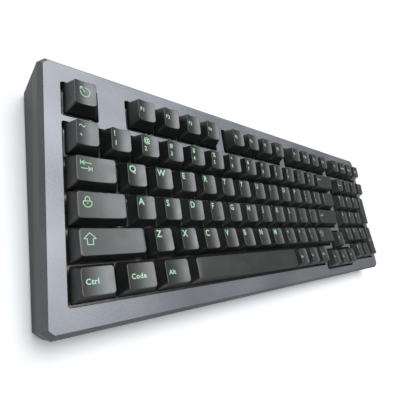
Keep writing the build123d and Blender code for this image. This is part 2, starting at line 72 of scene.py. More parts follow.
# ---- Keycaps. Thick-walled caps moulded in PBT, each row sculpted to its own height and
# tilt, with a dish for the finger pressed across the top; only the space bar is crowned.
# PBT leaves the mould with a fine satin grain, which rubs smoother on top with use.
def linear(hex_colour):
    """Linear RGBA from an sRGB hex value."""
    channels = [int(hex_colour[i:i + 2], 16) / 255 for i in (1, 3, 5)]
    return [c / 12.92 if c <= 0.04045 else ((c + 0.055) / 1.055) ** 2.4 for c in channels] + [1]


def add_node(owner, kind, links=None, **settings):
    """Adds a node to a material or world, with settings on it and links or values on its inputs."""
    node = owner.node_tree.nodes.new(kind)
    for name, value in settings.items():
        setattr(node, name, value)
    for socket, source in (links or {}).items():
        if isinstance(source, bpy.types.NodeSocket):
            owner.node_tree.links.new(source, node.inputs[socket])
        else:
            node.inputs[socket].default_value = source
    return node


def new_material(name):
    """An empty node material, and the object coordinates of the piece."""
    material = bpy.data.materials.new(name)
    material.use_nodes = True
    material.node_tree.nodes.clear()
    place = add_node(material, "ShaderNodeTexCoord").outputs["Object"]
    return material, place


def finish_material(material, shader):
    """Joins a shader to the material's output."""
    add_node(material, "ShaderNodeOutputMaterial", {"Surface": shader.outputs["BSDF"]})
    return material


def grain(material, place, size_mm, detail=2.0):
    """Noise whose lumps are size_mm across."""
    return add_node(
        material, "ShaderNodeTexNoise",
        {"Vector": place, "Scale": 1000 / size_mm, "Detail": detail},
    ).outputs["Fac"]


def spread(material, value, low, high):
    """Noise, which gathers round a half, stretched to run from low to high."""
    return add_node(
        material, "ShaderNodeMapRange",
        {"Value": value, "From Min": 0.3, "From Max": 0.7, "To Min": low, "To Max": high},
    ).outputs["Result"]


def two_tone(material, value, first, second):
    """A colour between two hex values, by a factor."""
    return add_node(
        material, "ShaderNodeMixRGB",
        {"Fac": value, "Color1": linear(first), "Color2": linear(second)},
    ).outputs["Color"]


def bumped(material, height, depth_mm, strength=1.0):
    """A normal from a height, where a height of one is depth_mm."""
    return add_node(
        material, "ShaderNodeBump",
        {"Height": height, "Distance": depth_mm * MM, "Strength": strength},
    ).outputs["Normal"]


# the eroded grain is really about 0.1 mm across, and is drawn coarser so that it shows
CAP_GRAIN_MM = 0.35
CAP_MOTTLE_MM = 0.5
WORN_PATCH_MM = 9.0


def satin_keycap_pbt():
    """PBT, spark-eroded mould: deep black, a broad soft sheen, and finger-worn patches."""
    material, place = new_material("satin keycap PBT")
    worn = spread(material, grain(material, place, WORN_PATCH_MM, detail=4.0), low=0.38, high=0.48)
    texture = grain(material, place, CAP_GRAIN_MM)
    mottle = grain(material, place, CAP_MOTTLE_MM)
    shader = add_node(material, "ShaderNodeBsdfPrincipled", {
        "Base Color": two_tone(material, mottle, "#0a0d0b", "#151816"),
        "Roughness": worn,
        "IOR": 1.57,
        "Specular IOR Level": 0.85,
        "Normal": bumped(material, texture, depth_mm=0.03, strength=0.7),
    })
    return finish_material(material, shader)


SKIRT = 6.3
CAP_GAP = 0.89
CAP_WALL = 1.5
CAP_ROOF = 1.2
SIDE_INSET = 3.72
DISH = 0.95
CROWN = 0.35
SPACE_BAR_PITCHES = 6.25
TOP_CORNER = 2.0
RIM_CORNER = 1.8
SKIRT_CORNER = 1.0
INNER_CORNER = 0.5
RIM_RADIUS = 0.38
RIM_SPREAD = 0.25
# how far out the rings of points lie on the top, how far down on the walls, and how far
# out under the roof, as parts of the whole; the skirt's lowest edge is drawn in a little
TOP_RINGS = (0.12, 0.3, 0.48, 0.66, 0.82, 0.93)
RIM_STEPS = 4
WALL_RINGS = (0.3, 0.65, 0.985)
FOOT_TUCK = 0.992
ROOF_RINGS = (1.0, 0.5)
POST_RADIUS = 2.75
POST_WALL = 0.7
POST_FOOT = 6.5
SOCKET_DEPTH = 3.8
STABILISER_REACH = 11.94
SPACE_BAR_REACH = 50.0
SHARP_EDGE = math.radians(40)
# front and rear height over the skirt, front and rear inset of the top face
SCULPT = {
    "row_1": (9.65, 10.15, 3.9, 1.8),
    "row_2": (7.6, 7.35, 3.8, 1.6),
    "row_3": (6.75, 6.4, 3.5, 1.7),
    "row_4": (8.3, 6.55, 3.4, 1.9),
    "plus": (7.15, 6.9, 3.6, 1.6),
}
# node: row, left and front edge of the first key in pitches, widths, depth
KEYS = {
    "key_escape": ("row_1", 0, 5.25, [1], 1),
    "keys_f1_to_f4": ("row_1", 2, 5.25, [1] * 4, 1),
    "keys_f5_to_f8": ("row_1", 6.5, 5.25, [1] * 4, 1),
    "keys_f9_to_f12": ("row_1", 11, 5.25, [1] * 4, 1),
    "keys_page_block": ("row_1", 15.5, 5.25, [1] * 4, 1),
    "keys_grave_to_6": ("row_1", 0, 4, [1] * 7, 1),
    "keys_7_to_equals": ("row_1", 7, 4, [1] * 6, 1),
    "key_backspace": ("row_1", 13, 4, [2], 1),
    "keys_numpad_operators": ("row_1", 15.5, 4, [1] * 4, 1),
    "key_tab": ("row_2", 0, 3, [1.5], 1),
    "keys_q_to_t": ("row_2", 1.5, 3, [1] * 5, 1),
    "keys_y_to_bracket": ("row_2", 6.5, 3, [1] * 7, 1),
    "key_backslash": ("row_2", 13.5, 3, [1.5], 1),
    "keys_numpad_7_to_9": ("row_2", 15.5, 3, [1] * 3, 1),
    "key_numpad_plus": ("plus", 18.5, 2, [1], 2),
    "key_caps_lock": ("row_3", 0, 2, [1.75], 1),
    "keys_a_to_g": ("row_3", 1.75, 2, [1] * 5, 1),
    "keys_h_to_quote": ("row_3", 6.75, 2, [1] * 6, 1),
    "key_enter": ("row_3", 12.75, 2, [2.25], 1),
    "keys_numpad_4_to_6": ("row_3", 15.5, 2, [1] * 3, 1),
    "key_left_shift": ("row_4", 0, 1, [2.25], 1),
    "keys_z_to_b": ("row_4", 2.25, 1, [1] * 5, 1),
    "keys_n_to_slash": ("row_4", 7.25, 1, [1] * 5, 1),
    "key_right_shift": ("row_4", 12.25, 1, [1.75], 1),
    "key_arrow_up": ("row_4", 14.25, 0.75, [1], 1),
    "keys_numpad_1_to_3": ("row_4", 15.5, 1, [1] * 3, 1),
    "key_numpad_enter": ("row_4", 18.5, 0, [1], 2),
    "key_left_control": ("row_4", 0, 0, [1.25], 1),
    "key_code": ("row_4", 1.25, 0, [1.25], 1),
    "key_left_alt": ("row_4", 2.5, 0, [1.25], 1),
    "key_space": ("row_4", 3.75, 0, [SPACE_BAR_PITCHES], 1),
    "keys_right_modifiers": ("row_4", 10, 0, [1] * 3, 1),
    "key_arrow_left": ("row_4", 13.25, -0.25, [1], 1),
    "key_arrow_down": ("row_4", 14.25, -0.25, [1], 1),
    "key_arrow_right": ("row_4", 15.25, -0.25, [1], 1),
    "key_numpad_0": ("row_4", 16.5, 0, [1], 1),
    "key_numpad_dot": ("row_4", 17.5, 0, [1], 1),
}


def top_box(kind):
    """Half width, front, rear, front height and rear height of a cap's top face."""
    row, width, depth = kind
    front_height, rear_height, front_inset, rear_inset = SCULPT[row]
    front = -depth * PITCH / 2 + front_inset
    rear = depth * PITCH / 2 - rear_inset
    return width * PITCH / 2 - SIDE_INSET, front, rear, front_height, rear_height


def top_height(kind, x, y):
    """Height of a cap's top face over the plate: its slope, less the dish or the crown's fall."""
    half, front, rear, front_height, rear_height = top_box(kind)
    along = min(1, max(0, (y - front) / (rear - front)))
    slope = front_height + (rear_height - front_height) * along
    if kind[1] == SPACE_BAR_PITCHES:
        return SKIRT + slope - CROWN * (2 * along - 1) ** 2
    return SKIRT + slope - DISH * (1 - min(1, (x / half) ** 2))


CORNER_STEPS = 4
SIDE_STEPS = 8
END_STEPS = 4
RING_POINTS = 4 * CORNER_STEPS + 2 * SIDE_STEPS + 2 * END_STEPS


def rounded_ring(half, front, rear, corner):
    """Points of a rounded rectangle, anticlockwise from the middle of the right side."""
    corner = min(corner, half * 0.9, (rear - front) * 0.45)
    points = []
    centres = [(half - corner, rear - corner, 0), (corner - half, rear - corner, 90),
               (corner - half, front + corner, 180), (half - corner, front + corner, 270)]
    for index, (cx, cy, start) in enumerate(centres):
        for step in range(CORNER_STEPS + 1):
            angle = math.radians(start + 90 * step / CORNER_STEPS)
            points.append((cx + corner * math.cos(angle), cy + corner * math.sin(angle)))
        nx, ny, turn = centres[(index + 1) % 4]
        steps = SIDE_STEPS if index % 2 == 0 else END_STEPS
        angle = math.radians(turn)
        x1, y1 = points[-1]
        x2, y2 = nx + corner * math.cos(angle), ny + corner * math.sin(angle)
        for step in range(1, steps):
            points.append((x1 + (x2 - x1) * step / steps, y1 + (y2 - y1) * step / steps))
    return points


def cap_levels(kind):
    """Rings of points from the middle of the top face, over the rim, down and up inside."""
    _, width, depth = kind
    half, front, rear, front_height, rear_height = top_box(kind)
    middle = (front + rear) / 2
    levels = []
    for size in TOP_RINGS:
        ring = rounded_ring(half * size, middle + (front - middle) * size,
                            middle + (rear - middle) * size, TOP_CORNER * size)
        levels.append([(x, y, top_height(kind, x, y)) for x, y in ring])
    for step in range(RIM_STEPS + 1):
        angle = math.radians(90 - 90 * step / RIM_STEPS)
        inset = RIM_RADIUS * (1 - math.cos(angle))
        drop = RIM_RADIUS * (1 - math.sin(angle))
        ring = rounded_ring(half + RIM_SPREAD - inset, front - RIM_SPREAD + inset,
                            rear + RIM_SPREAD - inset, RIM_CORNER - inset)
        levels.append([(x, y, top_height(kind, x, y) - drop) for x, y in ring])
    rim = levels[-1]
    skirt_x = width * PITCH / 2 - CAP_GAP / 2
    skirt_y = depth * PITCH / 2 - CAP_GAP / 2
    foot = rounded_ring(skirt_x, -skirt_y, skirt_y, SKIRT_CORNER)
    for part in WALL_RINGS:
        levels.append([
            (rx + (fx - rx) * part, ry + (fy - ry) * part, rz + (SKIRT - rz) * part)
            for (rx, ry, rz), (fx, fy) in zip(rim, foot)
        ])
    levels.append([(x * FOOT_TUCK, y * FOOT_TUCK, SKIRT) for x, y in foot])
    inner = rounded_ring(skirt_x - CAP_WALL, CAP_WALL - skirt_y, skirt_y - CAP_WALL, INNER_CORNER)
    levels.append([(x, y, SKIRT) for x, y in inner])
    low = min(front_height, rear_height)
    ceiling = low - DISH - CAP_ROOF
    taper = ceiling / low
    inner_half = skirt_x - (skirt_x - half) * taper - CAP_WALL
    inner_front = -skirt_y + (front + skirt_y) * taper + CAP_WALL
    inner_rear = skirt_y - (skirt_y - rear) * taper - CAP_WALL
    mid = (inner_front + inner_rear) / 2
    for size in ROOF_RINGS:
        ring = rounded_ring(inner_half * size, mid + (inner_front - mid) * size,
                            mid + (inner_rear - mid) * size, INNER_CORNER)
        levels.append([(x, y, SKIRT + ceiling) for x, y in ring])
    return levels


def lift_points(kind):
    """Where a cap is held: at the switch, and on a long key at its two stabilisers too."""
    _, width, depth = kind
    if depth == 2:
        return [(0, 0), (0, -STABILISER_REACH), (0, STABILISER_REACH)]
    if width < 2:
        return [(0, 0)]
    reach = SPACE_BAR_REACH if width == SPACE_BAR_PITCHES else STABILISER_REACH
    return [(0, 0), (-reach, 0), (reach, 0)]


def socket_post(x, y, ceiling):
    """The post under a cap, with a blind socket pushed up into it for the stem's cross."""
    bpy.ops.object.select_all(action="DESELECT")
    height = ceiling - POST_FOOT
    bpy.ops.mesh.primitive_cylinder_add(
        vertices=24, radius=POST_RADIUS, depth=height, location=(x, y, POST_FOOT + height / 2)
    )
    post = bpy.context.object
    bpy.ops.object.transform_apply()
    bpy.ops.object.mode_set(mode="EDIT")
    bpy.ops.mesh.select_mode(type="FACE")
    bpy.ops.mesh.select_all(action="DESELECT")
    bpy.ops.object.mode_set(mode="OBJECT")
    for face in post.data.polygons:
        face.select = face.normal.z < -0.5
    bpy.ops.object.mode_set(mode="EDIT")
    bpy.ops.mesh.inset(thickness=POST_WALL)
    bpy.ops.mesh.extrude_region_move(TRANSFORM_OT_translate={"value": (0, 0, SOCKET_DEPTH)})
    bpy.ops.object.mode_set(mode="OBJECT")
    return post


def press_cap(kind):
    """A ball pressed ring by ring into a hollow cap, in millimetres round its switch."""
    levels = cap_levels(kind)
    bpy.ops.object.select_all(action="DESELECT")
    bpy.ops.mesh.primitive_uv_sphere_add(
        segments=RING_POINTS, ring_count=len(levels) + 1, radius=1
    )
    cap = bpy.context.object
    for vertex in cap.data.vertices:
        x, y, z = vertex.co
        ring = round(math.acos(max(-1, min(1, z))) / math.pi * (len(levels) + 1))
        if ring == 0:
            _, front, rear, _, _ = top_box(kind)
            middle = (front + rear) / 2
            vertex.co = (0, middle, top_height(kind, 0, middle))
        elif ring > len(levels):
            vertex.co = (0, 0, levels[-1][0][2])
        else:
            turn = round(math.atan2(y, x) / (2 * math.pi) * RING_POINTS) % RING_POINTS
            vertex.co = levels[ring - 1][turn]
    ceiling = levels[-1][0][2]
    posts = [socket_post(x, y, ceiling) for x, y in lift_points(kind)]
    cap = joined([cap] + posts, "cap_pattern")
    bpy.ops.object.shade_smooth_by_angle(angle=SHARP_EDGE)
    return cap


def key_centres(node):
    """Middle of each key of a node, on the deck."""
    _, left, front, widths, depth = KEYS[node]
    return [((left + widths[0] * (i + 0.5)) * PITCH, (front + depth / 2) * PITCH)
            for i in range(len(widths))]


def laid(pattern, places, name):
    """Copies of a millimetre pattern at places on the deck, joined as one finished piece."""
    copies = []
    for x, y in places:
        copy = pattern.copy()
        copy.data = pattern.data.copy()
        bpy.context.scene.collection.objects.link(copy)
        copy.data.transform(DECK @ Matrix.Translation((x, y, 0)))
        copies.append(copy)
    return joined(copies, name)


def joined(parts, name):
    """Several objects made one."""
    bpy.ops.object.select_all(action="DESELECT")
    for part in parts:
        part.select_set(True)
    bpy.context.view_layer.objects.active = parts[0]
    if len(parts) > 1:
        bpy.ops.object.join()
    piece = bpy.context.view_layer.objects.active
    piece.name = name
    piece.data.name = name
    return piece


keycap_finish = satin_keycap_pbt()
cap_patterns = {}
caps = {}
for node, (row, _, _, widths, depth) in KEYS.items():
    kind = (row, widths[0], depth)
    if kind not in cap_patterns:
        cap_patterns[kind] = press_cap(kind)
    cap = laid(cap_patterns[kind], key_centres(node), "cap_" + node)
    cap.data.materials.clear()
    cap.data.materials.append(keycap_finish)
    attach(cap, node)
    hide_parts(node)
    caps[node] = cap
for pattern in cap_patterns.values():
    bpy.data.objects.remove(pattern)


# ---- Legends. The second shot of the moulding: mint green plastic that comes up through
# the cap and ends flush with its top, so it follows the dish. Letters stand at the top left.
def mint_legend_plastic():
    """PBT dyed mint green, a little chalky, matt where the tool cut it flush."""
    material, place = new_material("mint legend PBT")
    mottle = grain(material, place, size_mm=0.6, detail=3.0)
    shader = add_node(material, "ShaderNodeBsdfPrincipled", {
        "Base Color": two_tone(material, mottle, "#9fd0a8", "#b2deb9"),
        "Roughness": spread(material, mottle, low=0.5, high=0.62),
        "IOR": 1.57,
    })
    return finish_material(material, shader)


# a hair over the cap, so that the two faces don't meet
LEGEND_LIFT = 0.03
LEGEND_DEPTH = 0.05
LINE = 0.52
STROKE_STEP = 0.8
# the typeface's full size over the height of its capitals, and how far its strokes are fattened
FULL_SIZE = 1.38
FATTENED = 0.028
LETTER_SPACING = 1.08


def lettering(text, size, x, y):
    """A line of moulded text, its left end at x and its middle height at y."""
    bpy.ops.object.select_all(action="DESELECT")
    bpy.ops.object.text_add()
    line = bpy.context.object
    line.data.body = text
    line.data.size = size * FULL_SIZE
    line.data.offset = size * FATTENED
    line.data.extrude = LEGEND_DEPTH
    line.data.resolution_u = 3
    line.data.space_character = LETTER_SPACING
    bpy.ops.object.convert(target="MESH")
    line = bpy.context.object
    line.data.transform(Matrix.Translation((x, y - size / 2, 0)))
    return line


def drawn(strokes, x, y):
    """Lines of an icon as flat bars round (x, y); each stroke is a list of points."""
    parts = []
    for stroke in strokes:
        bpy.ops.object.select_all(action="DESELECT")
        curve = bpy.data.curves.new("stroke", "CURVE")
        curve.dimensions = "3D"
        curve.bevel_depth = LINE / 2
        curve.bevel_resolution = 1
        curve.use_fill_caps = True
        line = curve.splines.new("POLY")
        points = []
        for (x1, y1), (x2, y2) in zip(stroke, stroke[1:]):
            steps = max(1, round(math.dist((x1, y1), (x2, y2)) / STROKE_STEP))
            points += [(x1 + (x2 - x1) * i / steps, y1 + (y2 - y1) * i / steps)
                       for i in range(steps)]
        points.append(stroke[-1])
        line.points.add(len(points) - 1)
        for point, (px, py) in zip(line.points, points):
            point.co = (px + x, py + y, 0, 1)
        bar = bpy.data.objects.new("stroke", curve)
        bpy.context.scene.collection.objects.link(bar)
        bar.select_set(True)
        bpy.context.view_layer.objects.active = bar
        bpy.ops.object.convert(target="MESH")
        bar = bpy.context.object
        bar.data.transform(Matrix.Diagonal((1, 1, 2 * LEGEND_DEPTH / LINE, 1)))
        parts.append(bar)
    return joined(parts, "icon")


def arc(cx, cy, radius, start, end, steps=16):
    """Points along a circular stretch, in degrees."""
    return [
        (cx + radius * math.cos(math.radians(start + (end - start) * i / steps)),
         cy + radius * math.sin(math.radians(start + (end - start) * i / steps)))
        for i in range(steps + 1)
    ]


# the strokes of each sign, in millimetres round its middle
ICONS = {
    "shift": [[(0, 3.1), (3.2, 0), (1.5, 0), (1.5, -3), (-1.5, -3), (-1.5, 0), (-3.2, 0), (0, 3.1)]],
    "lock": [arc(0, -0.6, 2.3, 155, 385, 20), [(-2.1, 0.37), (2.1, 0.37)],
             [(-1.2, 0.4), *arc(0, 1.5, 1.2, 180, 0, 12), (1.2, 0.4)], [(0, -0.5), (0, -1.1)]],
    "tilde": [[(-1.7, -0.4), (-1.2, 0.4), (-0.6, 0.5), (0.6, -0.5), (1.2, -0.4), (1.7, 0.4)]],
    "tab": [[(-3, 2.7), (-3, 0.5)], [(-2.4, 1.6), (3, 1.6)],
            [(-0.9, 2.8), (-2.4, 1.6), (-0.9, 0.4)], [(3, -0.5), (3, -2.7)],
            [(-3, -1.6), (2.4, -1.6)], [(0.9, -0.4), (2.4, -1.6), (0.9, -2.8)]],
    "escape": [arc(0, 0, 2.6, 175, 455, 22), [(0, 0), (-2.6, 2.6)],
               [(-2.7, 1.0), (-2.6, 2.6), (-1, 2.7)]],
    "left": [[(2, 0), (-2, 0)], [(-0.6, 1.2), (-2, 0), (-0.6, -1.2)]],
    "right": [[(-2, 0), (2, 0)], [(0.6, 1.2), (2, 0), (0.6, -1.2)]],
    "up": [[(0, -2), (0, 2)], [(-1.2, 0.6), (0, 2), (1.2, 0.6)]],
    "down": [[(0, 2), (0, -2)], [(-1.2, -0.6), (0, -2), (1.2, -0.6)]],
    "back": [[(4, 0), (-4, 0)], [(-2.4, 1.4), (-4, 0), (-2.4, -1.4)]],
    "return": [[(3, 2), (3, -0.6), (-3, -0.6)], [(-1.5, 0.8), (-3, -0.6), (-1.5, -2)]],
}
# what each key shows, in order along the node; a pair stands one above the other
LEGENDS = {
    "key_escape": ["escape"],
    "keys_f1_to_f4": ["F1", "F2", "F3", "F4"],
    "keys_f5_to_f8": ["F5", "F6", "F7", "F8"],
    "keys_f9_to_f12": ["F9", "F10", "F11", "F12"],
    "keys_page_block": ["Del", "Home", "PgUp", "PgDn"],
    "keys_grave_to_6": [("tilde", "`"), ("!", "1"), ("@", "2"), ("#", "3"), ("$", "4"), ("%", "5"),
                        ("^", "6")],
    "keys_7_to_equals": [("&", "7"), ("*", "8"), ("(", "9"), (")", "0"), ("_", "-"), ("+", "=")],
    "key_backspace": ["back"],
    "keys_numpad_operators": ["Num", "/", "*", "-"],
    "key_tab": ["tab"],
    "keys_q_to_t": list("QWERT"),
    "keys_y_to_bracket": list("YUIOP") + [("{", "["), ("}", "]")],
    "key_backslash": [("|", "\\")],
    "keys_numpad_7_to_9": list("789"),
    "key_numpad_plus": ["+"],
    "key_caps_lock": ["lock"],
    "keys_a_to_g": list("ASDFG"),
    "keys_h_to_quote": list("HJKL") + [(":", ";"), ('"', "'")],
    "key_enter": ["return"],
    "keys_numpad_4_to_6": list("456"),
    "key_left_shift": ["shift"],
    "keys_z_to_b": list("ZXCVB"),
    "keys_n_to_slash": list("NM") + [("<", ","), (">", "."), ("?", "/")],
    "key_right_shift": ["shift"],
    "key_arrow_up": ["up"],
    "keys_numpad_1_to_3": list("123"),
    "key_numpad_enter": ["return"],
    "key_left_control": ["Ctrl"],
    "key_code": ["Code"],
    "key_left_alt": ["Alt"],
    "keys_right_modifiers": ["Alt", "Fn", "Ctrl"],
    "key_arrow_left": ["left"],
    "key_arrow_down": ["down"],
    "key_arrow_right": ["right"],
    "key_numpad_0": ["0"],
    "key_numpad_dot": ["."],
}


# each kind of legend: how far it stands from the left edge of the top face, the line it is
# placed from, how far to the rear of that line, and the height of its capitals
STYLES = {
    "letter": (1.0, "rear", -3.2, 4.2),
    "upper sign": (1.4, "rear", -3.2, 3.3),
    "lower sign": (1.6, "front", 4.6, 2.9),
    "upper icon": (3.2, "rear", -3.0, None),
    "lower accent": (1.6, "front", 4.0, 4.0),
    "function": (1.2, "middle", 0.5, 2.6),
    "word": (1.9, "middle", 0, 2.8),
    "short word": (1.2, "middle", 0, 2.2),
    "wide icon": (5.2, "middle", 1.5, None),
    "icon": (3.6, "middle", 0.6, None),
}
WIDE_CAP_PITCHES = 1.5


def styled(legend, style, kind):
    """One icon or line of text, at its style's place and size on a cap."""
    half, front, rear, _, _ = top_box(kind)
    lines = {"front": front, "middle": (front + rear) / 2, "rear": rear}
    inset, line, shift, size = STYLES[style]
    x = inset - half
    y = lines[line] + shift
    if size is None:
        return drawn(ICONS[legend], 0 if legend == "escape" else x, y)
    return lettering(legend, size, x, y)


def legend_parts(legend, kind):
    """The parts of one key's legend, flat round the switch."""
    width = kind[1]
    if isinstance(legend, tuple):
        upper, lower = legend
        if upper in ICONS:
            return [styled(upper, "upper icon", kind), styled(lower, "lower accent", kind)]
        return [styled(upper, "upper sign", kind), styled(lower, "lower sign", kind)]
    if legend in ICONS:
        return [styled(legend, "wide icon" if width >= WIDE_CAP_PITCHES else "icon", kind)]
    if len(legend) == 1:
        return [styled(legend, "letter", kind)]
    if legend[0] == "F" and legend != "Fn":
        return [styled(legend, "function", kind)]
    return [styled(legend, "word" if width > 1 else "short word", kind)]


legend_finish = mint_legend_plastic()
for node, legends in LEGENDS.items():
    row, _, _, widths, depth = KEYS[node]
    kind = (row, widths[0], depth)
    parts = []
    for legend, (x, y) in zip(legends, key_centres(node)):
        for part in legend_parts(legend, kind):
            for vertex in part.data.vertices:
                vertex.co.z += top_height(kind, vertex.co.x, vertex.co.y) + LEGEND_LIFT
            part.data.transform(DECK @ Matrix.Translation((x, y, 0)))
            parts.append(part)
    piece = joined(parts, "legend_" + node)
    piece.data.materials.clear()
    piece.data.materials.append(legend_finish)
    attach(piece, node)


# ---- Homing bars. Short raised bars moulded at the front of F, J and the middle of the
# number pad, where the index fingers rest. They are the cap's own plastic.
HOMING = {"keys_a_to_g": 3, "keys_h_to_quote": 1, "keys_numpad_4_to_6": 1}
BAR_LENGTH = 4.2
BAR_THICK = 0.7
BAR_ROUNDING = 0.3
BAR_FROM_EDGE = 2.2
BAR_RISE = 0.1
for node, index in HOMING.items():
    row, _, _, widths, depth = KEYS[node]
    kind = (row, widths[0], depth)
    x, y = key_centres(node)[index]
    bar_y = top_box(kind)[1] + BAR_FROM_EDGE
    bpy.ops.object.select_all(action="DESELECT")
    bpy.ops.mesh.primitive_cube_add(size=1)
    bar = bpy.context.object
    bar.data.transform(Matrix.Diagonal((BAR_LENGTH, BAR_THICK, BAR_THICK, 1)))
    bevel = bar.modifiers.new("rounded", "BEVEL")
    bevel.width = BAR_ROUNDING
    bevel.segments = 3
    bpy.ops.object.modifier_apply(modifier="rounded")
    lift = top_height(kind, 0, bar_y) + BAR_RISE
    bar.data.transform(DECK @ Matrix.Translation((x, y + bar_y, lift)))
    bpy.ops.object.shade_smooth()
    bar.name = "homing_bar_" + node
    bar.data.materials.append(keycap_finish)
    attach(bar, node)


# ---- Switch stems. Each switch's slider, moulded in acetal, with the cross that the
# cap's post grips; it travels with its key.
def acetal():
    """Acetal: waxy, slightly translucent, self-lubricating; a warm cream here."""
    material, place = new_material("cream acetal")
    shader = add_node(material, "ShaderNodeBsdfPrincipled", {
        "Base Color": two_tone(material, grain(material, place, size_mm=1.5), "#e2dccc", "#eee8da"),
        "Roughness": spread(material, grain(material, place, size_mm=0.8), low=0.3, high=0.42),
        "IOR": 1.48,
    })
    return finish_material(material, shader)


def block(sizes, centre, bevel_width):
    """A cube drawn out to a size, with its edges rounded."""
    bpy.ops.object.select_all(action="DESELECT")
    bpy.ops.mesh.primitive_cube_add(size=1)
    shape = bpy.context.object
    shape.data.transform(Matrix.Translation(centre) @ Matrix.Diagonal((*sizes, 1)))
    bevel = shape.modifiers.new("rounded", "BEVEL")
    bevel.width = bevel_width
    bevel.segments = 2
    bpy.ops.object.modifier_apply(modifier="rounded")
    return shape


# size and middle height of the slider, its shoulder, a stabiliser's slider and the cross
SLIDER = ((6.6, 4.9, 2.9), 4.95)
SHOULDER = ((9.0, 7.0, 1.2), 4.1)
STABILISER_SLIDER = ((4.6, 6.0, 5.1), 3.85)
CROSS_ARM = 4.0
CROSS_THICK = 1.2
CROSS_TALL = 3.7
CROSS_MIDDLE = 8.25
BODY_EDGE = 0.2
CROSS_EDGE = 0.1


def body(size, middle):
    """A slider's block, over the switch's middle."""
    return block(size, (0, 0, middle), BODY_EDGE)


def cross():
    """The two crossed blades that a cap's post is pushed on to."""
    centre = (0, 0, CROSS_MIDDLE)
    return [block((CROSS_ARM, CROSS_THICK, CROSS_TALL), centre, CROSS_EDGE),
            block((CROSS_THICK, CROSS_ARM, CROSS_TALL), centre, CROSS_EDGE)]


acetal_finish = acetal()
stem_pattern = joined([body(*SLIDER), body(*SHOULDER), *cross()], "stem_pattern")
foot_pattern = joined([body(*STABILISER_SLIDER), *cross()], "foot_pattern")
for node, (row, _, _, widths, depth) in KEYS.items():
    stem = laid(stem_pattern, key_centres(node), "stem_" + node)
    held = lift_points((row, widths[0], depth))[1:]
    if held:
        x, y = key_centres(node)[0]
        feet = laid(foot_pattern, [(x + dx, y + dy) for dx, dy in held], "feet_" + node)
        stem = joined([stem, feet], "stem_" + node)
    stem.data.materials.clear()
    stem.data.materials.append(acetal_finish)
    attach(stem, node)
bpy.data.objects.remove(stem_pattern)
bpy.data.objects.remove(foot_pattern)


# ---- Case. Two halves milled from aluminium billet, bead-blasted to an even sparkle and
# anodised: the upper half blue grey, the lower a darker grey. The seam runs round the side.

# the pits of the blast are really about 0.1 mm across, and are drawn coarser so that they show
BEAD_MM = 0.7
CLOUD_MM = 40
# how far a face must turn upwards to leave the walls' painted shade, and to have the top's unshaded
# tones
WALL_PAINTED_SHADE_TURN = 0.4
TOP_UNSHADED_TURN = 0.95


def blasted_anodised_aluminium_with_painted_wall_shade(name, first, second, side):
    """Bead-blasted, anodised: a satin metal whose pits catch the light; upright walls darkened by
    painted shade.
    """
    material, place = new_material(name)
    beads = grain(material, place, BEAD_MM, detail=1.0)
    clouds = grain(material, place, CLOUD_MM, detail=2.0)
    mix = add_node(material, "ShaderNodeMath", {0: beads, 1: clouds}, operation="MULTIPLY")
    shade = add_node(material, "ShaderNodeMapRange", {
        "Value": mix.outputs["Value"], "From Min": 0.1, "From Max": 0.4, "To Min": 0, "To Max": 1,
    })
    face = add_node(material, "ShaderNodeTexCoord").outputs["Normal"]
    upward = add_node(material, "ShaderNodeSeparateXYZ", {"Vector": face}).outputs["Z"]
    top = add_node(material, "ShaderNodeMapRange", {
        "Value": upward, "From Min": WALL_PAINTED_SHADE_TURN, "From Max": TOP_UNSHADED_TURN, "To Min": 0, "To Max": 1,
    })
    # the side colour is painted shade: upright walls take it, and faces turned upwards keep the
    # blasted tones
    tone = add_node(material, "ShaderNodeMixRGB", {
        "Fac": top.outputs["Result"],
        "Color1": linear(side),
        "Color2": two_tone(material, shade.outputs["Result"], first, second),
    })
    shader = add_node(material, "ShaderNodeBsdfPrincipled", {
        "Base Color": tone.outputs["Color"],
        "Metallic": 1.0,
        "Roughness": spread(material, beads, low=0.5, high=0.62),
        "Normal": bumped(material, beads, depth_mm=0.05, strength=0.8),
    })
    return finish_material(material, shader)


def give(node, material):
    """Puts a finish on a CAD node."""
    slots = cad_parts[node].data.materials
    slots.clear()
    slots.append(material)


# the third colour of each half is the painted shade laid on its upright walls
give("top_case", blasted_anodised_aluminium_with_painted_wall_shade(
    "blue grey anodised aluminium with painted wall shade", "#7a7b80", "#95969b", "#434344"
))
give("bottom_case", blasted_anodised_aluminium_with_painted_wall_shade(
    "dark anodised aluminium with painted wall shade", "#3a3b3f", "#47484c", "#303135"
))


# ---- Switch plate. Brass sheet, 1.5 mm, brushed along its length; it shows between the
# keys and the edges of the openings.

# real brush lines are finer, about 0.05 mm; these are drawn wide enough to show
BRUSH_LINE_MM = 0.4
BRUSH_STRETCH = 0.02
TARNISH_MM = 15


def brushed_brass():
    """Brass with fine scratches along the sheet, tarnished to a dull grey brown."""
    material, place = new_material("brushed brass")
    stretched = add_node(material, "ShaderNodeMapping", {
        "Vector": place, "Scale": (BRUSH_STRETCH, 1, 1),
    })
    lines = grain(material, stretched.outputs["Vector"], BRUSH_LINE_MM)
    tarnish = grain(material, place, TARNISH_MM, detail=3.0)
    shader = add_node(material, "ShaderNodeBsdfPrincipled", {
        "Base Color": two_tone(material, tarnish, "#5f5a55", "#7c7771"),
        "Metallic": 1.0,
        "Roughness": spread(material, lines, low=0.28, high=0.42),
        "Normal": bumped(material, lines, depth_mm=0.02, strength=0.5),
    })
    return finish_material(material, shader)


give("switch_plate", brushed_brass())


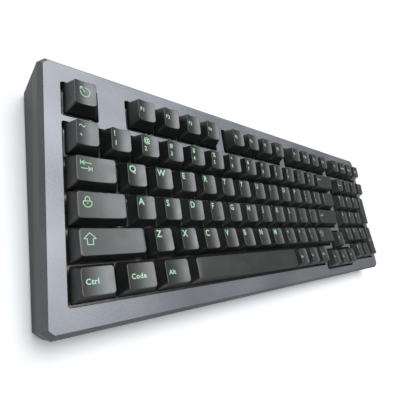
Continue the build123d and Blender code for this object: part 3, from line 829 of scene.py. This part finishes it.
# ---- Switch and stabiliser housings. Clear-natural nylon, injection moulded, clipped in
# the plate; the light that gets between the caps glints on them.
def natural_nylon():
    """Undyed nylon: milky, half translucent, with a moulded gloss."""
    material, place = new_material("natural nylon")
    cloud = grain(material, place, size_mm=3.0)
    shader = add_node(material, "ShaderNodeBsdfPrincipled", {
        "Base Color": two_tone(material, cloud, "#e6e6e4", "#f6f6f4"),
        "Roughness": spread(material, cloud, low=0.18, high=0.3),
        "IOR": 1.53,
        "Subsurface Weight": 0.3,
        "Subsurface Radius": (0.002, 0.002, 0.002),
    })
    return finish_material(material, shader)


nylon = natural_nylon()
for node in ("switch_upper_housings", "switch_lower_housings", "stabiliser_housings"):
    give(node, nylon)


# ---- Steel parts. Springs and stabiliser wires coiled and bent from spring steel, screws,
# and the inlet's drawn shell, all zinc-plated.
def plated_steel():
    """Bright zinc plate over steel, a little uneven where it was tumbled."""
    material, place = new_material("zinc-plated steel")
    tumbled = grain(material, place, size_mm=0.5, detail=3.0)
    shader = add_node(material, "ShaderNodeBsdfPrincipled", {
        "Base Color": two_tone(material, tumbled, "#a9abad", "#c6c8ca"),
        "Metallic": 1.0,
        "Roughness": spread(material, tumbled, low=0.22, high=0.36),
    })
    return finish_material(material, shader)


steel = plated_steel()
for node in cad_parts:
    if node.startswith("wire_") or node in ("switch_springs", "case_screws", "usb_socket"):
        give(node, steel)


# ---- Boards, foam, feet. Glass-epoxy boards under dark solder mask, black epoxy parts,
# open-cell foam and gasket strips, and moulded rubber feet on the underside.

ROUGHNESS_VARIES = 0.06


def dull(name, first, second, grain_mm, roughness, depth_mm):
    """A dull moulded or foamed surface with its own grain."""
    material, place = new_material(name)
    lumps = grain(material, place, grain_mm, detail=4.0)
    shader = add_node(material, "ShaderNodeBsdfPrincipled", {
        "Base Color": two_tone(material, lumps, first, second),
        "Roughness": spread(
            material, lumps, roughness - ROUGHNESS_VARIES, roughness + ROUGHNESS_VARIES
        ),
        "Normal": bumped(material, lumps, depth_mm),
    })
    return finish_material(material, shader)


solder_mask = dull("solder mask", "#0d1f16", "#15291e", grain_mm=2.0, roughness=0.35, depth_mm=0.01)
epoxy = dull("moulded epoxy", "#101010", "#1c1c1c", grain_mm=0.3, roughness=0.5, depth_mm=0.02)
foam = dull("open-cell foam", "#1a1a1a", "#2c2c2c", grain_mm=0.8, roughness=0.9, depth_mm=0.2)
rubber = dull("moulded rubber", "#131313", "#1f1f1f", grain_mm=0.6, roughness=0.75, depth_mm=0.05)
for node, material in (
    ("circuit_board", solder_mask),
    ("usb_daughterboard", solder_mask),
    ("controller_chips", epoxy),
    ("hot_swap_sockets", epoxy),
    ("board_lead", epoxy),
    ("gasket_strips", foam),
    ("case_foam", foam),
    ("rubber_feet", rubber),
):
    give(node, material)


# ---- Studio. A plain pale paper floor that runs out of sight, a sky that is white at the
# horizon and dim above it, and one wide soft panel overhead, a little towards the rear.
FLOOR_SIZE = 60
FLOOR_DROP = 0.0005
PAPER_MOTTLE_MM = 30
HORIZON_STRENGTH = 1.0
SKY_STRENGTH = 0.28
HORIZON_BAND = 0.1
PANEL_SIDE = Vector((0.0, 0.2, 1.0))

bpy.ops.object.select_all(action="DESELECT")
bpy.ops.mesh.primitive_plane_add(size=FLOOR_SIZE, location=(0, 0, -FLOOR_DROP))
floor = bpy.context.object
floor.name = "floor"
paper, paper_place = new_material("white paper")
paper_shader = add_node(paper, "ShaderNodeBsdfPrincipled", {
    "Base Color": two_tone(
        paper, grain(paper, paper_place, PAPER_MOTTLE_MM), "#f0f0f0", "#f5f5f5"
    ),
    "Roughness": 0.9,
})
finish_material(paper, paper_shader)
floor.data.materials.append(paper)

world = bpy.data.worlds.new("studio")
world.use_nodes = True
direction = add_node(world, "ShaderNodeTexCoord").outputs["Generated"]
height = add_node(world, "ShaderNodeSeparateXYZ", {"Vector": direction}).outputs["Z"]
brightness = add_node(world, "ShaderNodeMapRange", {
    "Value": height, "From Min": 0.0, "From Max": HORIZON_BAND,
    "To Min": HORIZON_STRENGTH, "To Max": SKY_STRENGTH,
}).outputs["Result"]
background = world.node_tree.nodes["Background"].inputs
world.node_tree.links.new(brightness, background["Strength"])
background["Color"].default_value = (1, 1, 1, 1)
bpy.context.scene.world = world

sky_panel = bpy.data.lights.new("overhead_panel", "SUN")
sky_panel.energy = 3.2
sky_panel.angle = math.radians(48)
sky_panel.color = (0.92, 0.965, 1.0)
overhead = bpy.data.objects.new("overhead_panel", sky_panel)
bpy.context.scene.collection.objects.link(overhead)
overhead.matrix_world = PANEL_SIDE.to_track_quat("Z", "Y").to_matrix().to_4x4()
bpy.context.scene.view_settings.view_transform = "Standard"
